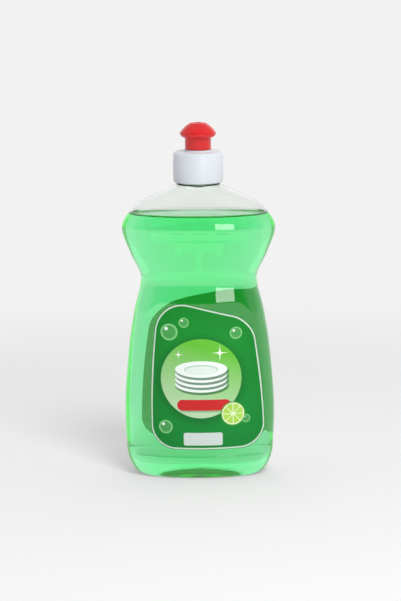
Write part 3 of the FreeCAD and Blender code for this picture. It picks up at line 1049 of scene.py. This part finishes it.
for level in PLATE_LEVELS:
    shade = oval(px, pz, DISC[0] + 0.6, level - 1.3, *PLATE_SHADE)
    ink = front_print.mix(shade * 0.8, ink, colour(24, 104, 52))
    ink = front_print.mix(oval(px, pz, DISC[0], level, *PLATE), ink, colour(240, 247, 243))
ink = front_print.mix(oval(px, pz, *WELL), ink, colour(178, 208, 190))
ink = front_print.mix(oval(px, pz, *WELL_FLOOR), ink, colour(228, 240, 232))

for cx, cz, size in SPARKS:
    star = (abs(px - cx) + 0.04) * (abs(pz - cz) + 0.04)
    ray = star.under(0.028 * size * size, 0.02 * size * size) * disc(px, pz, cx, cz, size, 1.2)
    ink = front_print.mix(ray, ink, colour(255, 255, 252))

ink = front_print.mix(block(px, pz, *RED_BAR_SHADE) * 0.5, ink, colour(20, 100, 46))
ink = front_print.mix(block(px, pz, *RED_BAR), ink, colour(206, 42, 44))

ink = front_print.mix(disc(px, pz, *SLICE, RIND), ink, colour(70, 158, 36))
ink = front_print.mix(disc(px, pz, *SLICE, PITH), ink, colour(232, 244, 206))
around = front_print.maths("ARCTAN2", pz - SLICE[1], px - SLICE[0])
spokes = abs(front_print.maths("SINE", around * 4.0))
radius_here = ((px - SLICE[0]) ** 2 + (pz - SLICE[1]) ** 2) ** 0.5
wedge = 1 - (spokes * radius_here).under(0.95, 0.25)
ink = front_print.mix(disc(px, pz, *SLICE, FLESH) * wedge, ink, colour(172, 216, 86))

ink = front_print.mix(block(px, pz, *PALE_PANEL), ink, colour(206, 218, 212))
ink = silver_line(front_print, ink, edge)
dress(front_film, film_surface(front_print, ink, faces_back(front_print), INNER_GREEN))

# %% [markdown]
# The back label has the same ground and line, with two bare pale panels where a maker's small
# print would go, and a few bubbles. Its inner side is what the photograph shows through the
# soap: plain green, with a painted glow standing in for the light that comes through the film from behind.

# %% The back print
UPPER_PANEL = (-4.0, 76.0, 46.0, 22.0, 2.0)
LOWER_PANEL = (-4.0, 46.0, 46.0, 26.0, 2.0)
BACK_BUBBLES = [(10.0, 98.0, 4.6), (0.0, 101.0, 2.8), (18.0, 95.0, 2.4)]

back_print = Finish("back_label_print")
bx, _, bz = back_print.place()
edge = back_print.node("ShaderNodeAttribute", {"attribute_name": "from_edge"}, output=2)
ink = ground(back_print, bx, bz, edge)
ink = back_print.mix(block(bx, bz, *UPPER_PANEL), ink, colour(206, 226, 200))
ink = back_print.mix(block(bx, bz, *LOWER_PANEL), ink, colour(190, 216, 186))
for cx, cz, radius in BACK_BUBBLES:
    ink = add_bubble(back_print, ink, bx, bz, cx, cz, radius)
ink = silver_line(back_print, ink, edge)
mottle = back_print.noise(90, 2.0, 0.5) * 0.3
backing = back_print.mix(mottle, INNER_GREEN, colour(20, 122, 42))
dress(back_film, film_surface(back_print, ink, 1 - faces_back(back_print), backing))

# %% [markdown]
# ## The closures and the liner
#
# Moulded plastic has a faint skin: a very fine grain in the surface, and slow changes in gloss
# and in tone where it cooled. The cap is a satin white and the spout a glossy red. The liner is
# foam, matt and full of tiny cells.

# %% Moulded plastics
def moulded(name, tone, shade, gloss, grain_per_metre):
    finish = Finish(name)
    flow = finish.noise(70, 2.0, 0.5, (1.0, 1.0, 0.4))
    grain = finish.noise(grain_per_metre, 2.0, 0.6)
    return finish.surface({
        "Base Color": finish.mix(flow, tone, shade),
        "Roughness": gloss + 0.08 * flow,
        "IOR": 1.49,
        "Normal": finish.bump(grain, 0.06, 0.0002),
    })


white, shaded_white = colour(222, 227, 233), colour(215, 221, 228)
red, shaded_red = colour(222, 34, 36), colour(210, 27, 30)
dress(cap, moulded("satin_white_plastic", white, shaded_white, 0.32, 1500))
dress(spout, moulded("glossy_red_plastic", red, shaded_red, 0.12, 1100))

foam = Finish("liner_foam")
where = foam.node("ShaderNodeTexCoord", output=3)
cells = foam.node("ShaderNodeTexVoronoi", None, {"Vector": where, "Scale": 2500.0})
dress(frame["nodes"]["cap_liner"], foam.surface({
    "Base Color": foam.mix(cells, colour(236, 236, 230), colour(222, 222, 216)),
    "Roughness": 0.8,
    "Normal": foam.bump(cells, 0.3, 0.0002),
}))

# %% [markdown]
# ## Studio
#
# The floor is one large pale sheet. Near the bottle it is an ordinary matt surface that takes
# the shadow, and further off it turns into an even grey of its own, the photograph's background,
# so that no lamp's fall-off shows. The world is a soft room: bright behind the bottle, dimmer at
# its sides and dark behind the camera. What lies round clear things makes their look: the dark
# side of the room draws the bottle's deep green edges.

# %% The floor
BACKGROUND = 0.887
FRONT_LIGHT = 0.12
SIDE_LIGHT = 0.62
BACK_LIGHT = 1.0
NEAR_SHARE = 0.66
NEAR_EDGE = (0.45, 0.2)
DARK_EDGE = (-2600.0, 600.0)
FLOOR_HALF = 20.0

floor_bm = bmesh.new()
bmesh.ops.create_grid(floor_bm, x_segments=8, y_segments=8, size=FLOOR_HALF)
floor_mesh = bpy.data.meshes.new("floor")
floor_bm.to_mesh(floor_mesh)
floor_bm.free()
floor = bpy.data.objects.new("floor", floor_mesh)
scene.collection.objects.link(floor)

sheet = Finish("pale_floor")
where = sheet.node("ShaderNodeTexCoord", output=3)
far = sheet.node("ShaderNodeVectorMath", {"operation": "LENGTH"}, {0: where}, 1)
near = far.under(*NEAR_EDGE) * NEAR_SHARE
lit = 1 - sheet.place()[1].under(*DARK_EDGE)
matt = sheet.node("ShaderNodeBsdfDiffuse", None, {"Color": (BACKGROUND, BACKGROUND, BACKGROUND, 1)})
even = sheet.node(
    "ShaderNodeEmission", None,
    {"Color": (1, 1, 1, 1), "Strength": FRONT_LIGHT + (BACKGROUND - FRONT_LIGHT) * lit},
)
both = sheet.node("ShaderNodeMixShader", None, {0: near, 1: even, 2: matt})
end = sheet.tree.nodes.new("ShaderNodeOutputMaterial")
sheet.tree.links.new(both.socket, end.inputs["Surface"])
dress(floor, sheet.material)

# %% The world
FRONT_EDGE = (-0.6, -0.1)
BACK_EDGE = (0.45, 0.8)

world = bpy.data.worlds.new("soft_room")
scene.world = world
world.use_nodes = True
tree = world.node_tree
tree.nodes.clear()


def world_node(kind, **settings):
    made = tree.nodes.new(kind)
    for key, value in settings.items():
        setattr(made, key, value)
    return made


def world_ramp(value, low, high, least, most):
    ramp = world_node("ShaderNodeMapRange", interpolation_type="SMOOTHSTEP")
    tree.links.new(value, ramp.inputs["Value"])
    for key, number in zip(("From Min", "From Max", "To Min", "To Max"), (low, high, least, most)):
        ramp.inputs[key].default_value = number
    return ramp.outputs["Result"]


direction = world_node("ShaderNodeTexCoord")
split = world_node("ShaderNodeSeparateXYZ")
tree.links.new(direction.outputs["Generated"], split.inputs[0])
front_to_side = world_ramp(split.outputs["Y"], *FRONT_EDGE, FRONT_LIGHT, SIDE_LIGHT)
side_to_back = world_ramp(split.outputs["Y"], *BACK_EDGE, 1.0, BACK_LIGHT / SIDE_LIGHT)
product = world_node("ShaderNodeMath", operation="MULTIPLY")
tree.links.new(front_to_side, product.inputs[0])
tree.links.new(side_to_back, product.inputs[1])
background = world_node("ShaderNodeBackground")
tree.links.new(product.outputs[0], background.inputs["Strength"])
background.inputs["Color"].default_value = (1, 1, 1, 1)
world_out = world_node("ShaderNodeOutputWorld")
tree.links.new(background.outputs[0], world_out.inputs["Surface"])
print("world nodes:", len(tree.nodes))


# %% The lamps
def soft_lamp(name, place, target, wide, tall, watts):
    data = bpy.data.lights.new(name, "AREA")
    data.shape = "RECTANGLE"
    data.size, data.size_y = wide, tall
    data.energy = watts
    lamp = bpy.data.objects.new(name, data)
    scene.collection.objects.link(lamp)
    lamp.location = place
    lamp.rotation_euler = (Vector(target) - Vector(place)).to_track_quat("-Z", "Y").to_euler()
    print(name, "lamp:", watts, "W")
    return lamp


key = soft_lamp("key", (0.42, -1.08, 1.48), (0, 0, 0.05), 0.7, 0.7, 19.5)
key.visible_glossy = False
window = soft_lamp("window", (0.54, -1.17, 0.27), (0, 0, 0.12), 0.42, 0.32, 3.6)
for lamp in (key, window):
    lamp.visible_transmission = False

# %% [markdown]
# ## The camera
#
# The photograph was taken from a metre and a half, a little above the bottle and straight at its
# front, with a long lens. The lens is worked out from the photograph's own frame.

# %% The camera at the photograph's angle
PHOTO_HEIGHT = 601
FOCAL_PIXELS = 2419.0
DISTANCE = 1.5
RISE = math.radians(10.0)
AIM = Vector((0.0009, 0.0, 0.1086))
ROLL = math.radians(-0.4)
SENSOR_HEIGHT = 24.0

lens = bpy.data.cameras.new("photo_view")
lens.sensor_fit = "VERTICAL"
lens.sensor_height = SENSOR_HEIGHT
lens.lens = FOCAL_PIXELS / PHOTO_HEIGHT * SENSOR_HEIGHT
camera = bpy.data.objects.new("photo_view", lens)
scene.collection.objects.link(camera)
camera.location = AIM + Vector((0.0, -math.cos(RISE), math.sin(RISE))) * DISTANCE
look = (AIM - camera.location).to_track_quat("-Z", "Y").to_matrix()
camera.rotation_euler = (look @ Matrix.Rotation(ROLL, 3, "Z")).to_euler()
scene.camera = camera
scene.view_settings.view_transform = "Standard"
scene.cycles.max_bounces = 24
scene.cycles.transmission_bounces = 24
print("lens:", round(lens.lens, 1), "mm, camera", [round(c, 3) for c in camera.location])
